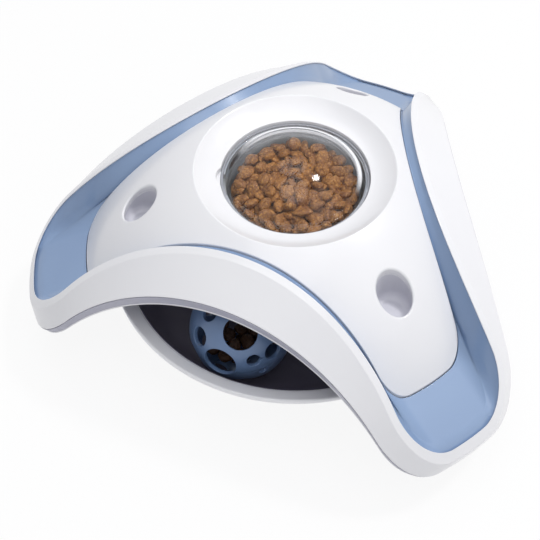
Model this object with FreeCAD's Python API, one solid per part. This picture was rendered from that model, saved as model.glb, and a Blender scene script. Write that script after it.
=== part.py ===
import FreeCAD, Part
import math
import os
from FreeCAD import Vector

# Treat dispensing toy: a three-lobed canopy over a round bowl, with a kibble hopper
# under a clear dome and a perforated treat ball that rolls round the bowl.
# Millimetres, +Z up. The axis of the toy is Z and the floor it stands on is z = 0.

# Lobes and the canopy's height
lobe_angles = [90.0, 210.0, 330.0]
arch_angles = [30.0, 150.0, 270.0]
canopy_rise = 59.2            # edge of the dished ring above the bowl's rim

# Rim: the white land round the blue channel, on one sphere
rim_tip_reach = 42.3          # its inner edge outside the bowl's rim, at a tip
rim_tip_drop = 68.23          # rim at a tip, below the dish edge
rim_crown = 10.85             # top of the rim's sphere above the dish edge
rim_arch_gap = 4.5            # inner edge of the rim outside the cover's edge, at an arch
rim_arch_radius = 170.0
rim_corner_radius = 22.0
land_width = 3.5
land_edge = 0.8               # thickness of the land at its inner edge
shell_wall = 2.2

# Skirt: flares out from the land to its low edge
skirt_tip_flare = 2.2         # low edge outside the rim's edge, at a tip
skirt_arch_flare = 22.55      # the same at an arch
skirt_tip_drop = 82.27        # low edge at a tip, below the dish edge
skirt_crown = 8.35            # top of the low edge's sphere above the dish edge
skirt_arch_radius = 270.0
skirt_corner_radius = 28.0
seam_gap = 0.15
seam_inset = 1.0              # of the shell's inner face below the land

# Cover: the white three-lobed cap inside the channel
cover_tip_reach = 12.35       # cover's edge outside the bowl's rim, at a tip
cover_tip_drop = 56.53        # cover's edge at a tip, below the dish edge
cover_crown = 9.75            # top of its sphere above the dish edge
cover_arch_margin = 6.25      # cover's edge outside the dish, at an arch
cover_arch_radius = 200.0
cover_corner_radius = 14.0
cover_wall = 2.2

# Dished ring and mouth of the cover
dish_radius = 50.0
mouth_radius = 37.3
mouth_drop = 6.7              # mouth below the dish edge
dish_hollow = 1.1             # how far the dish is hollowed from a straight cone
neck_height = 4.2
neck_wall = 2.0
neck_join_drop = 1.7          # underside of the dish below the mouth, at the neck
mouth_edge = 0.6              # slanted edge of the mouth
finger_notch_angle = 205.0
finger_notch_radius = 8.0
finger_notch_reach = 2.0      # how far it reaches outside the mouth
finger_notch_depth = 3.0

# Channel liner
liner_wall = 2.0
liner_flange = 2.4            # width of its top edge under the land
channel_tip_inset = 4.3       # foot of the channel's wall inside the rim's edge, at a tip
channel_corner_radius = 12.0
channel_foot_gap = 0.9        # foot of the wall outside the cover's edge
channel_slope = 0.39          # fall of the channel floor towards a tip
channel_step = 0.8            # channel floor below the cover's upper edge
channel_blend = 0.6           # softness of the bend there
recess_gap = 0.45             # recess of the liner outside the cover's edge
seat_gap = 0.2                # between the cover and the recess below it
seat_width = 3.0              # of the liner's ledge under the cover

# Snack cups under the three holes
cup_place = 78.0              # from the axis
cup_hole_radius = 8.9
cup_wall = 1.5
cup_foot_gap = 1.0            # between a cup and the ceiling below it
cup_floor_rounding = 4.0
cup_room_gap = 1.6            # between a cup and the well round it

# Underside of the canopy
under_wall = 2.2
under_gap = 2.4               # clear space under the liner
keel_gap = 1.9                # the same outside the liner's foot
keel_side = 1.5               # its lower face outside its top, along the arches
keel_tip = 2.2                # and inside it at a tip
under_blend = 2.0             # softness of the bend where that meets the ceiling
ledge_inset = 1.0             # bend of the ceiling inside the liner's ledge
well_arch_gap = 0.75          # wells over the lobes, inside the ledge's bend at an arch
well_arch_radius = 205.0
well_depth = 3.78             # ceiling in the lobes below the cover's inside, at a well's tip
under_hub_drop = 24.0         # ceiling below the dish edge, round the hopper and at the arches
band_height = 8.8             # of the band below the skirt, along the arches
band_tip_height = 2.6         # and at a tip
band_fade = 8.0               # how late towards a tip its height falls
band_inset = 3.0
band_thickness = 1.2
band_edge = 0.4               # top of the band inside the skirt's edge
band_top_width = 2.8

# Hopper
hopper_wall = 2.0
hopper_bore_radius = 34.8
hopper_cone_drop = 32.0       # top of the funnel's cone below the dish edge
tube_room = 10.5              # between the central tube and the ball's way round it
hopper_tube_top_drop = 54.0
flange_radius = 46.0
flange_thickness = 2.3
ledge_thickness = 3.0
ledge_radius = 35.1
groove_depth = 1.8
groove_height = 3.3
neck_clearance = 0.2          # between the hopper's collar and the neck
neck_foot_gap = 0.3
collar_fall = 0.7
hub_clearance = 0.2           # of the hopper and of the hub from the edge between them
hub_margin = 1.0              # flat of the hub beyond the flange
cone_shift = 0.8              # inside of the funnel above its outside

# Lid
lid_clearance = 0.4
lid_wall = 1.8
lid_dome_radius = 32.0
lid_dome_height = 15.0
lid_flange_thickness = 1.7
lid_flange_drop = 0.2         # top of the flange below the mouth's edge
lid_spigot_depth = 7.2
spigot_wall = 1.2
seal_thickness = 1.0
seal_width = 0.9
seal_inset = 0.2
seal_bead = 0.1
spigot_clearance = 0.3
lug_root = 0.5                # how deep a lug goes into the spigot
lug_height = 1.7
lug_angle = 16.0
notch_angle = 22.0
lid_turn = 35.0               # turn that brings the lugs to their notches

# Bowl
bowl_rim_radius = 98.0
bowl_land_width = 7.0
bowl_land_fall = 3.3
bowl_lip_height = 3.2
bowl_wall = 2.6
bowl_depth = 34.8             # rim to floor
bowl_corner_gap = 3.5         # how much larger the bowl's rounded corner is than the ball
bowl_edge_rounding = 1.2
bowl_side_lean = 1.75         # of the side between the rounded corner and the land
bowl_lip_wall = 2.4
bowl_land_wall = 2.8
base_radius = 72.0
base_wall = 2.4

# Base
base_cover_thickness = 2.2
weight_thickness = 4.6
weight_radius = 45.0
weight_hole_radius = 14.0
weight_room = 1.95            # between the weight and the bowl
pad_radius = 8.0
pad_inset = 3.6               # of a foot inside the base's wall
pad_height = 3.2
pad_recess = 0.6
base_boss_radius = 3.6
base_screw_place = 50.0

# Feed cone under the tube
outlet_gap = 12.0             # end of the tube above the bowl's floor
cone_radius = 23.0
cone_height = 9.0
cone_edge = 0.8
cone_tip_radius = 1.5
cone_cap = 3.0                # solid tip above its screw hole

# Twist catch between canopy and bowl
ear_reach = 5.5
ear_height = 3.0
ear_half_angle = 3.5
catch_clearance = 0.35
catch_wall = 2.6
catch_half_angle = 5.5
leg_clearance = 0.6
catch_stop_angle = 0.5        # between an ear and the closed end of its slot
leg_seat = 1.3                # leg's top below the ceiling's upper face

# Treat ball
ball_radius = 26.5
ball_wall = 2.0
ball_track_inset = 1.25       # ball's centre inside the centre of the bowl's rounded corner
ball_place_angle = -94.5
ball_clearance = 0.3
ball_fill_level = 8.0         # kibble in the ball, below its centre
# Holes of the ball: angle round it, angle above its equator, radius
ball_holes = [
    (-63.5, 51.0, 8.5), (-89.0, 10.0, 8.5), (-124.0, 26.0, 5.0), (-50.0, 17.0, 3.5),
    (-40.0, -5.0, 2.3), (-25.0, 18.0, 4.6), (-137.0, 54.0, 4.3), (12.0, 42.0, 6.0),
    (30.0, 4.0, 8.5), (70.0, 30.0, 8.0), (78.0, -8.0, 4.0), (112.0, 0.0, 8.0),
    (150.0, 26.0, 8.5), (158.0, -14.0, 5.0), (-165.0, -4.0, 4.0), (-132.0, -14.0, 7.5),
    (-60.0, -36.0, 7.5), (0.0, -28.0, 6.0), (50.0, -38.0, 7.5), (118.0, -44.0, 8.0),
    (-160.0, -45.0, 5.5), (-110.0, -52.0, 4.0), (60.0, 68.0, 5.0), (160.0, 68.0, 6.0)]

# Kibble in the hopper
kibble_gap = 0.35
kibble_edge_drop = 13.6       # heap below the dish edge, at its edge
kibble_crest_drop = 11.6      # and at its middle

# Screws
screw_radius = 1.5
screw_head_radius = 2.8
screw_head_height = 1.5
drive_radius = 1.05
drive_depth = 0.75
cover_screw_length = 9.0
hopper_screw_length = 7.5
base_screw_length = 8.0
cone_screw_length = 7.5
screw_end_gap = 1.2           # of a blind hole beyond its screw
cover_screw_place = 60.5
hopper_screw_place = 42.0
cover_boss_radius = 3.4
hopper_boss_radius = 3.3
hopper_boss_height = 5.0
boss_land = 4.0               # ceiling kept level on each side of the cover's screws
boss_seat_gap = 0.3           # between the cover's bosses and the ceiling
fit_gap = 0.05                # between screws or press-in pieces and their holes
margin = 1.0                  # how far a cut runs past what it cuts



def sphere_radius(height, reach):
    # Radius of the sphere whose cap has this height and this radius at its edge
    return (reach ** 2 + height ** 2) / (2 * height)


# Plan sizes from the values above
cover_nearest = dish_radius + cover_arch_margin
cover_tip_radius = bowl_rim_radius + cover_tip_reach
rim_nearest = cover_nearest + rim_arch_gap
rim_tip_radius = bowl_rim_radius + rim_tip_reach
skirt_nearest = rim_nearest + skirt_arch_flare
skirt_tip_radius = rim_tip_radius + skirt_tip_flare
channel_tip_radius = rim_tip_radius - channel_tip_inset
rim_sphere_radius = sphere_radius(rim_crown + rim_tip_drop, rim_tip_radius)
skirt_sphere_radius = sphere_radius(skirt_crown + skirt_tip_drop, skirt_tip_radius)
cover_sphere_radius = sphere_radius(cover_crown + cover_tip_drop, cover_tip_radius)
bowl_corner_radius = ball_radius + bowl_corner_gap
bowl_side_radius = bowl_rim_radius - bowl_land_width - bowl_side_lean
bowl_corner_place = bowl_side_radius - bowl_corner_radius
ball_track_radius = bowl_corner_place - ball_track_inset
hopper_tube_radius = ball_track_radius - ball_radius - tube_room - hopper_wall
well_tip_radius = cup_place + cup_hole_radius + cup_wall + cup_room_gap
pad_place = base_radius - base_wall - pad_inset - pad_radius

# Heights above the floor, from the values above
base_cover_z = pad_height - pad_recess
weight_z = base_cover_z + base_cover_thickness + fit_gap
bowl_foot_z = weight_z + weight_thickness + weight_room
bowl_floor_z = bowl_foot_z + bowl_wall
bowl_rim_z = bowl_floor_z + bowl_depth
bowl_corner_z = bowl_floor_z + bowl_corner_radius
ear_foot_z = bowl_rim_z - bowl_lip_height
ball_z = bowl_floor_z + ball_radius + ball_clearance
tube_end_z = bowl_floor_z + outlet_gap
z0 = bowl_rim_z + canopy_rise
cover_centre_z = z0 + cover_crown - cover_sphere_radius
mouth_z = z0 - mouth_drop
neck_foot_z = mouth_z - neck_height
flange_top_z = mouth_z - lid_flange_drop
flange_foot_z = flange_top_z - lid_flange_thickness
collar_top_z = flange_foot_z - seal_thickness - seam_gap
spigot_foot_z = flange_foot_z - lid_spigot_depth
hub_z = z0 - under_hub_drop
flange_z = hub_z + fit_gap
flange_seat_z = flange_z + flange_thickness

half_pitch = math.pi / len(lobe_angles)
curve_points = [25, 9, 7, 9]       # on the arch, corner, tip and corner of an outline


def fold(angle):
    # Angle from the nearest lobe's axis
    pitch = 2 * half_pitch
    start = math.radians(lobe_angles[0])
    return abs((angle - start + half_pitch) % pitch - half_pitch)


class Outline:
    # A three-lobed plan outline: one arch arc between two lobes, and on each lobe
    # a corner arc, a tip arc about the axis and another corner arc.
    def __init__(self, nearest, arch, tip, corner):
        self.nearest = nearest
        self.arch = arch
        self.tip = tip
        self.corner = corner
        reach = nearest + arch
        inward = tip - corner
        cosine = (inward ** 2 + reach ** 2 - (arch + corner) ** 2) / (2 * inward * reach)
        self.corner_angle = half_pitch - math.acos(cosine)
        self.arch_centre = (reach * math.cos(half_pitch), -reach * math.sin(half_pitch))
        self.corner_centre = (inward * math.cos(self.corner_angle),
                              -inward * math.sin(self.corner_angle))
        dx = self.corner_centre[0] - self.arch_centre[0]
        dy = self.corner_centre[1] - self.arch_centre[1]
        self.touch = math.atan2(dy, dx)
        self.touch_angle = -math.atan2(self.arch_centre[1] + arch * math.sin(self.touch),
                                       self.arch_centre[0] + arch * math.cos(self.touch))

    def offset(self, out):
        return Outline(self.nearest + out, self.arch - out, self.tip + out, self.corner + out)

    def pieces(self):
        # Plan points of one lobe's four arcs, with the lobe's axis along x
        middle = math.pi - half_pitch
        sweep = self.touch - middle
        arch = arc_points(self.arch_centre, self.arch, middle - sweep, middle + sweep,
                          curve_points[0])
        corner = arc_points(self.corner_centre, self.corner,
                            self.touch - math.pi, -self.corner_angle, curve_points[1])
        tip = arc_points((0.0, 0.0), self.tip, -self.corner_angle, self.corner_angle,
                         curve_points[2])
        mirrored = [(x, -y) for x, y in reversed(corner)]
        return [arch, corner, tip, mirrored]


class Circle:
    # A circle about the axis, divided at the same angles as an outline
    def __init__(self, radius, like):
        self.radius = radius
        self.marks = [-2 * half_pitch + like.touch_angle, -like.touch_angle,
                      -like.corner_angle, like.corner_angle, like.touch_angle]

    def pieces(self):
        spans = zip(self.marks, self.marks[1:], curve_points)
        return [arc_points((0.0, 0.0), self.radius, a, b, n) for a, b, n in spans]


class Between:
    # A line part of the way from one line to another, point by point
    def __init__(self, inner, outer, share):
        self.inner = inner
        self.outer = outer
        self.share = share

    def pieces(self):
        between = []
        for near, far in zip(self.inner.pieces(), self.outer.pieces()):
            between.append([(x + (u - x) * self.share, y + (v - y) * self.share)
                            for (x, y), (u, v) in zip(near, far)])
        return between


def arc_points(centre, radius, start, end, count):
    points = []
    for i in range(count):
        angle = start + (end - start) * i / (count - 1)
        points.append((centre[0] + radius * math.cos(angle), centre[1] + radius * math.sin(angle)))
    return points


def guide(outline, height, drop=0.0, follow=None):
    # Closed chain of curves over a plan outline. Heights are those of the outline,
    # or those of the matching points of another one that it follows.
    source = follow or outline
    edges = []
    for lobe in lobe_angles:
        turn = math.radians(lobe)
        for plan, mark in zip(outline.pieces(), source.pieces()):
            points = []
            for (x, y), (u, v) in zip(plan, mark):
                radius = math.hypot(x, y)
                angle = math.atan2(y, x) + turn
                z = height(math.hypot(u, v), fold(math.atan2(v, u) + turn)) - drop
                points.append(Vector(radius * math.cos(angle), radius * math.sin(angle), z))
            curve = Part.BSplineCurve()
            curve.interpolate(points)
            edges.append(curve.toShape())
    return edges


def ring_solid(guides):
    # Closed solid whose faces run from each guide to the next and back to the first
    faces = []
    for near, far in zip(guides, guides[1:] + guides[:1]):
        for a, b in zip(near, far):
            faces.append(Part.makeRuledSurface(a, b, 1))
    shell = Part.makeShell(faces)
    shell.sewShape()
    solid = Part.makeSolid(shell)
    if solid.Volume < 0:
        solid.reverse()
    return solid


def flat_wire(outline, z):
    # The outline as true arcs at one height
    edges = []
    for lobe in lobe_angles:
        for plan in outline.pieces():
            ends = [plan[0], plan[len(plan) // 2], plan[-1]]
            spots = [Vector(x, y, z) for x, y in ends]
            arc = Part.Arc(*spots).toShape()
            arc.rotate(Vector(0, 0, 0), Vector(0, 0, 1), lobe)
            edges.append(arc)
    return Part.Wire(Part.__sortEdges__(edges))


def prism(outline, low, high):
    return Part.Face(flat_wire(outline, low)).extrude(Vector(0, 0, high - low))


def revolve(profile, angle=360.0):
    # Turns a closed profile of (radius, height) corners about the axis. A corner given
    # as a pair of pairs is an arc: the point half way along it and its end.
    edges = []
    last = profile[0]
    for item in profile[1:] + [profile[0]]:
        if isinstance(item[0], tuple):
            middle, end = item
            edges.append(Part.Arc(spot(last), spot(middle), spot(end)).toShape())
            last = end
        elif spot(last).distanceToPoint(spot(item)) > 1e-6:
            edges.append(Part.makeLine(spot(last), spot(item)))
            last = item
    face = Part.Face(Part.Wire(edges))
    return face.revolve(Vector(0, 0, 0), Vector(0, 0, 1), angle)


def spot(pair):
    return Vector(pair[0], 0, pair[1])


def sector(inner, outer, low, high, middle, half):
    # Block between two radii and two heights, round the axis from middle - half to middle + half
    profile = [(inner, low), (outer, low), (outer, high), (inner, high)]
    return turned(revolve(profile, 2 * half), middle - half)


def ring(inner, outer, low, high):
    return revolve([(inner, low), (outer, low), (outer, high), (inner, high)])


def turned(shape, angle):
    copy = shape.copy()
    copy.rotate(Vector(0, 0, 0), Vector(0, 0, 1), angle)
    return copy


def cylinder(radius, low, high, place=0.0, angle=0.0):
    turn = math.radians(angle)
    base = Vector(place * math.cos(turn), place * math.sin(turn), low)
    return Part.makeCylinder(radius, high - low, base)


def ball(radius, z, place=0.0, angle=0.0):
    turn = math.radians(angle)
    return Part.makeSphere(radius, Vector(place * math.cos(turn), place * math.sin(turn), z))


def screw(seat_z, tip_z, place, angle):
    # Pan head on a seat, with its shank running to tip_z, up or down
    way = 1 if tip_z > seat_z else -1
    head_z = seat_z - way * screw_head_height
    low, high = sorted((seat_z, tip_z))
    shank = cylinder(screw_radius, low, high, place, angle)
    low, high = sorted((seat_z, head_z))
    head = cylinder(screw_head_radius, low, high, place, angle)
    turn = math.radians(angle)
    centre = Vector(place * math.cos(turn), place * math.sin(turn), head_z)
    drive = Part.makeCylinder(drive_radius, drive_depth, centre, Vector(0, 0, way))
    return head.fuse(shank).removeSplitter().cut(drive)


def soft_min(a, b, softness):
    return 0.5 * (a + b - math.hypot(a - b, softness))


def soft_max(a, b, softness):
    return 0.5 * (a + b + math.hypot(a - b, softness))


def dome_height(crown, radius, r):
    # Height of a sphere whose top is crown above the dish edge
    return z0 + crown - radius + math.sqrt(max(radius ** 2 - r ** 2, 0.0))


def rim_height(r, away):
    return dome_height(rim_crown, rim_sphere_radius, r)


def skirt_height(r, away):
    return dome_height(skirt_crown, skirt_sphere_radius, r)


def band_low(r, away):
    # Foot of the band below the skirt's edge
    share = (r - skirt_nearest) / (skirt_tip_radius - skirt_nearest)
    fall = (band_height - band_tip_height) * abs(share) ** band_fade
    return skirt_height(r, away) - band_height + fall


def cover_under(r, away):
    return dome_height(cover_crown - cover_wall, cover_sphere_radius - cover_wall, r)


def seat_height(r, away):
    # Recess of the liner under the cover's edge
    return cover_under(r, away) - seat_gap


def channel_floor(r, away):
    # Beside the cover the floor follows its top, and beyond it falls straight towards the tip
    beside = dome_height(cover_crown - channel_step, cover_sphere_radius, r)
    ramp_start = dome_height(cover_crown - channel_step, cover_sphere_radius, cover_tip_radius)
    ramp = ramp_start - channel_slope * (r * math.cos(away) - cover_tip_radius)
    return soft_max(beside, ramp, channel_blend)


def ceiling(r, away):
    # Underside's top face between the hub and the lobes
    share = (1 + math.cos(away * len(lobe_angles))) / 2
    return hub_z - (hub_z - lobe_ceiling_z) * share


def under_channel(r, away):
    # Underside's top face where it passes below the liner's channel
    below = channel_floor(r, away) - liner_wall - under_gap
    return soft_min(below, hub_z, under_blend)


def under_seat(r, away):
    # The same below the liner's recess
    below = seat_height(r, away) - liner_wall - under_gap
    return soft_min(below, hub_z, under_blend)


def level(z):
    return lambda r, away: z


lobe_ceiling_z = cover_under(well_tip_radius, 0.0) - well_depth

rim_edge = Outline(rim_nearest, rim_arch_radius, rim_tip_radius, rim_corner_radius)
land_edge_line = rim_edge.offset(land_width)
skirt_edge = Outline(skirt_nearest, skirt_arch_radius, skirt_tip_radius, skirt_corner_radius)
cover_edge = Outline(cover_nearest, cover_arch_radius, cover_tip_radius, cover_corner_radius)
channel_foot = Outline(cover_nearest + channel_foot_gap, cover_arch_radius - channel_foot_gap,
                       channel_tip_radius, channel_corner_radius)
liner_foot = channel_foot.offset(liner_wall / 2)
seat_outer = cover_edge.offset(recess_gap)
seat_inner = cover_edge.offset(-seat_width)
ledge_line = seat_inner.offset(-ledge_inset)
well_line = Outline(ledge_line.nearest - well_arch_gap, well_arch_radius, well_tip_radius,
                    well_tip_radius - cup_place)


def canopy_shell():
    # White rim and skirt: an open ring with the land on top
    inner_skirt = skirt_edge.offset(-shell_wall)
    return ring_solid([
        guide(rim_edge, rim_height),
        guide(land_edge_line, rim_height),
        guide(skirt_edge, skirt_height),
        guide(inner_skirt, skirt_height, follow=skirt_edge),
        guide(land_edge_line.offset(-seam_inset), rim_height, shell_wall + 2 * seam_gap),
        guide(rim_edge, rim_height, land_edge)])


def channel_liner():
    # Blue channel: wall from the land down to its foot, floor, and the recess for the cover
    outer_top = rim_edge.offset(liner_flange)
    return ring_solid([
        guide(rim_edge, rim_height, land_edge),
        guide(channel_foot, channel_floor),
        guide(seat_outer, channel_floor),
        guide(seat_outer, seat_height),
        guide(seat_inner, seat_height),
        guide(seat_inner, seat_height, liner_wall),
        guide(seat_outer, seat_height, liner_wall),
        guide(liner_foot, channel_floor, liner_wall, follow=channel_foot),
        guide(outer_top, rim_height, shell_wall + 2 * seam_gap + fit_gap)])


def underside_sheet():
    # Band under the skirt, ceiling over the bowl with a well in each lobe, and the hub
    keel = liner_foot.offset(keel_gap)
    keel_foot = Outline(keel.nearest + keel_side, keel.arch - keel_side, keel.tip - keel_tip,
                        keel.corner)
    band_top = skirt_edge.offset(-band_edge)
    band_foot = skirt_edge.offset(-band_inset)
    band_back = skirt_edge.offset(-band_inset - band_thickness)
    band_back_top = skirt_edge.offset(-band_edge - band_top_width)
    hub_out = Circle(flange_radius + hub_margin, well_line)
    boss_share = (cover_screw_place - hub_out.radius) / (well_line.tip - hub_out.radius)
    land_share = boss_land / (well_line.tip - hub_out.radius)
    boss_out = Between(hub_out, well_line, boss_share + land_share)
    boss_in = Between(hub_out, well_line, boss_share - land_share)
    hub_in = Circle(hopper_bore_radius + hopper_wall + hub_clearance, well_line)
    lines = [
        (liner_foot, under_channel, channel_foot),
        (seat_outer, under_seat, None),
        (ledge_line, under_seat, seat_inner),
        (well_line, ceiling, None),
        (boss_out, ceiling, None),
        (boss_in, ceiling, None),
        (hub_out, level(hub_z), None),
        (hub_in, level(hub_z), None)]
    foot = [guide(keel_foot, under_channel, under_wall, channel_foot)]
    foot += [guide(line, height, under_wall, follow) for line, height, follow in lines]
    top = [guide(line, height, 0.0, follow) for line, height, follow in reversed(lines)]
    top.append(guide(keel, under_channel, 0.0, channel_foot))
    band = [
        guide(band_top, skirt_height, seam_gap, skirt_edge),
        guide(band_foot, band_low, 0.0, skirt_edge),
        guide(band_back, band_low, 0.0, skirt_edge)]
    return ring_solid(band + foot + top + [guide(band_back_top, skirt_height, seam_gap, skirt_edge)])


def leg_top(r):
    # Height inside the ceiling's wall over a leg, on a lobe's axis
    near = well_line.tip
    near_z = ceiling(near, 0.0)
    far_z = under_seat(seat_inner.tip, 0.0)
    slope_z = near_z + (far_z - near_z) * (r - near) / (ledge_line.tip - near)
    return min(near_z, slope_z, under_seat(r, 0.0)) - leg_seat


def canopy_underside():
    # Lower moulding of the canopy: the sheet with its three legs, each with a slot that
    # catches an ear of the bowl, the bosses of the hopper's screws and all screw holes
    shape = underside_sheet()
    inner = bowl_rim_radius + leg_clearance
    slot_outer = bowl_rim_radius + ear_reach + catch_clearance
    outer = slot_outer + catch_wall
    slot_low = ear_foot_z - catch_clearance
    slot_high = ear_foot_z + ear_height + catch_clearance
    leg_foot = slot_low - catch_wall
    stop = ear_half_angle + catch_stop_angle
    slot_half = (stop + catch_half_angle + margin) / 2
    for lobe in lobe_angles:
        leg = revolve([(inner, leg_foot), (outer, leg_foot), (outer, leg_top(outer)),
                       (inner, leg_top(inner))], 2 * catch_half_angle)
        slot = sector(inner - margin, slot_outer, slot_low, slot_high, lobe + stop - slot_half, slot_half)
        shape = shape.fuse(turned(leg, lobe - catch_half_angle).cut(slot))
        shape = shape.cut(cylinder(screw_radius + fit_gap, lobe_ceiling_z - under_wall - margin,
                                   lobe_ceiling_z + margin, cover_screw_place, lobe))
    boss_foot = hub_z - under_wall - hopper_boss_height
    tip_z = flange_seat_z - hopper_screw_length
    for arch in arch_angles:
        boss = cylinder(hopper_boss_radius, boss_foot, hub_z - under_wall / 2, hopper_screw_place, arch)
        hole = cylinder(screw_radius + fit_gap, tip_z - screw_end_gap, hub_z + margin,
                        hopper_screw_place, arch)
        shape = shape.fuse(boss).cut(hole)
    return shape.removeSplitter()


def top_cover():
    # White cover: a spherical cap trimmed to its outline, the dished ring and neck,
    # three holes and three screw bosses
    inner_sphere = cover_sphere_radius - cover_wall
    cap = ball(cover_sphere_radius, cover_centre_z).cut(ball(inner_sphere, cover_centre_z))
    low, high = z0 - cover_tip_drop - 2 * cover_wall, z0 + cover_crown + margin
    cap = cap.common(prism(cover_edge, low, high)).cut(cylinder(dish_radius, low, high))
    rim_z = dome_height(cover_crown, cover_sphere_radius, dish_radius)
    under_z = cover_under(dish_radius, 0.0)
    neck = mouth_radius + neck_wall
    middle = ((dish_radius + mouth_radius) / 2, (rim_z + mouth_z) / 2 - dish_hollow)
    lower = (middle[0] + mouth_edge, middle[1] - cover_wall)
    dish = revolve([(dish_radius, under_z), (dish_radius, rim_z),
                    (middle, (mouth_radius + mouth_edge, mouth_z)), (mouth_radius, mouth_z - mouth_edge),
                    (mouth_radius, neck_foot_z), (neck, neck_foot_z), (neck, mouth_z - neck_join_drop),
                    (lower, (dish_radius, under_z))])
    shape = cap.fuse(dish)
    boss_foot = lobe_ceiling_z + boss_seat_gap
    tip_z = lobe_ceiling_z - under_wall + cover_screw_length
    for lobe in lobe_angles:
        boss = cylinder(cover_boss_radius, boss_foot, z0, cover_screw_place, lobe)
        boss = boss.common(ball(cover_sphere_radius - cover_wall / 2, cover_centre_z))
        hole = cylinder(screw_radius + fit_gap, boss_foot - margin, tip_z + screw_end_gap,
                        cover_screw_place, lobe)
        cup_hole = cylinder(cup_hole_radius, low, high, cup_place, lobe)
        shape = shape.fuse(boss).cut(hole).cut(cup_hole)
    notch = cylinder(finger_notch_radius, mouth_z - finger_notch_depth, z0,
                     mouth_radius + finger_notch_reach - finger_notch_radius, finger_notch_angle)
    return shape.cut(notch).removeSplitter()


def snack_cup(lobe):
    # Cup under a hole of the cover, its top trimmed to the inside of the cover
    floor_z = lobe_ceiling_z + cup_foot_gap + cup_wall
    outside = cylinder(cup_hole_radius + cup_wall, floor_z - cup_wall, z0, cup_place, lobe)
    outside = outside.common(ball(cover_sphere_radius - cover_wall - fit_gap, cover_centre_z))
    inside = cylinder(cup_hole_radius, floor_z, z0 + margin, cup_place, lobe)
    foot = [edge for edge in inside.Edges
            if isinstance(edge.Curve, Part.Circle) and edge.Curve.Center.z < floor_z + margin]
    return outside.cut(inside.makeFillet(cup_floor_rounding, foot))


def hopper():
    # Collar with the lid's ledge and groove, funnel, flange on the hub, and the central tube
    groove = ledge_radius + groove_depth
    outer = groove + hopper_wall
    ledge_z = collar_top_z - ledge_thickness
    groove_z = ledge_z - groove_height
    cone_z = z0 - hopper_cone_drop
    tube_z = z0 - hopper_tube_top_drop
    passing = hopper_bore_radius + hopper_wall - hub_clearance
    neck = mouth_radius - neck_clearance
    shoulder_z = neck_foot_z - neck_foot_gap
    tube = hopper_tube_radius + hopper_wall
    shape = revolve([
        (ledge_radius, ledge_z), (ledge_radius, collar_top_z), (neck, collar_top_z),
        (neck, shoulder_z), (outer, shoulder_z - collar_fall), (outer, flange_seat_z),
        (flange_radius, flange_seat_z), (flange_radius, flange_z), (passing, flange_z),
        (passing, cone_z), (tube, tube_z), (tube, tube_end_z), (hopper_tube_radius, tube_end_z),
        (hopper_tube_radius, tube_z + cone_shift), (hopper_bore_radius, cone_z + cone_shift),
        (hopper_bore_radius, groove_z), (groove, groove_z), (groove, ledge_z)])
    for lobe in lobe_angles:
        shape = shape.cut(sector(ledge_radius - margin, groove, ledge_z - margin, collar_top_z + margin,
                                 lobe, notch_angle / 2))
    for arch in arch_angles:
        shape = shape.cut(cylinder(screw_radius + fit_gap, flange_z - margin, flange_seat_z + margin,
                                   hopper_screw_place, arch))
    return shape


def cap_arc(radius, edge_z, crown_z):
    # Middle and end of the arc from the edge of a spherical cap to its top on the axis
    height = crown_z - edge_z
    sphere = sphere_radius(height, radius)
    half = radius / 2
    return (half, crown_z - sphere + math.sqrt(sphere ** 2 - half ** 2)), (0.0, crown_z)


def dome_lid():
    # Clear dome on a flange, with a spigot that carries three bayonet lugs
    spigot = ledge_radius - spigot_clearance
    outer = mouth_radius - lid_clearance
    top_z = flange_top_z + lid_dome_height
    inner = lid_dome_radius - lid_wall
    dome = revolve([(0.0, flange_foot_z), (outer, flange_foot_z), (outer, flange_top_z),
                    (lid_dome_radius, flange_top_z), cap_arc(lid_dome_radius, flange_top_z, top_z)])
    hollow = revolve([(0.0, flange_foot_z), (inner, flange_foot_z),
                      cap_arc(inner, flange_foot_z, top_z - lid_wall)])
    shape = dome.cut(hollow).fuse(ring(spigot - spigot_wall, spigot, spigot_foot_z, flange_foot_z))
    lug_z = collar_top_z - ledge_thickness - catch_clearance
    for lobe in lobe_angles:
        lug = sector(spigot - lug_root, ledge_radius + groove_depth - lid_clearance, lug_z - lug_height,
                     lug_z, lobe - lid_turn, lug_angle / 2)
        shape = shape.fuse(lug)
    return shape.removeSplitter()


def lid_seal():
    # Flat ring under the lid's flange, with a slight bead below
    outer = mouth_radius - lid_clearance - seal_inset
    inner = outer - seal_width
    low = flange_foot_z - seal_thickness
    return revolve([(inner, low), ((inner + seal_width / 2, low - seal_bead), (outer, low)),
                    (outer, flange_foot_z), (inner, flange_foot_z)])


def kibble_fill():
    # Kibble from the end of the tube to a low heap under the dome, inside the lid's spigot
    side = hopper_bore_radius - kibble_gap
    upper = ledge_radius - spigot_clearance - spigot_wall - kibble_gap
    tube = hopper_tube_radius - kibble_gap
    lift = cone_shift + kibble_gap
    edge_z = z0 - kibble_edge_drop
    return revolve([(0.0, tube_end_z + kibble_gap), (tube, tube_end_z + kibble_gap),
                    (tube, z0 - hopper_tube_top_drop + lift), (side, z0 - hopper_cone_drop + lift),
                    (side, spigot_foot_z - kibble_gap), (upper, spigot_foot_z - kibble_gap),
                    (upper, edge_z), cap_arc(upper, edge_z, z0 - kibble_crest_drop)])


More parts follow.
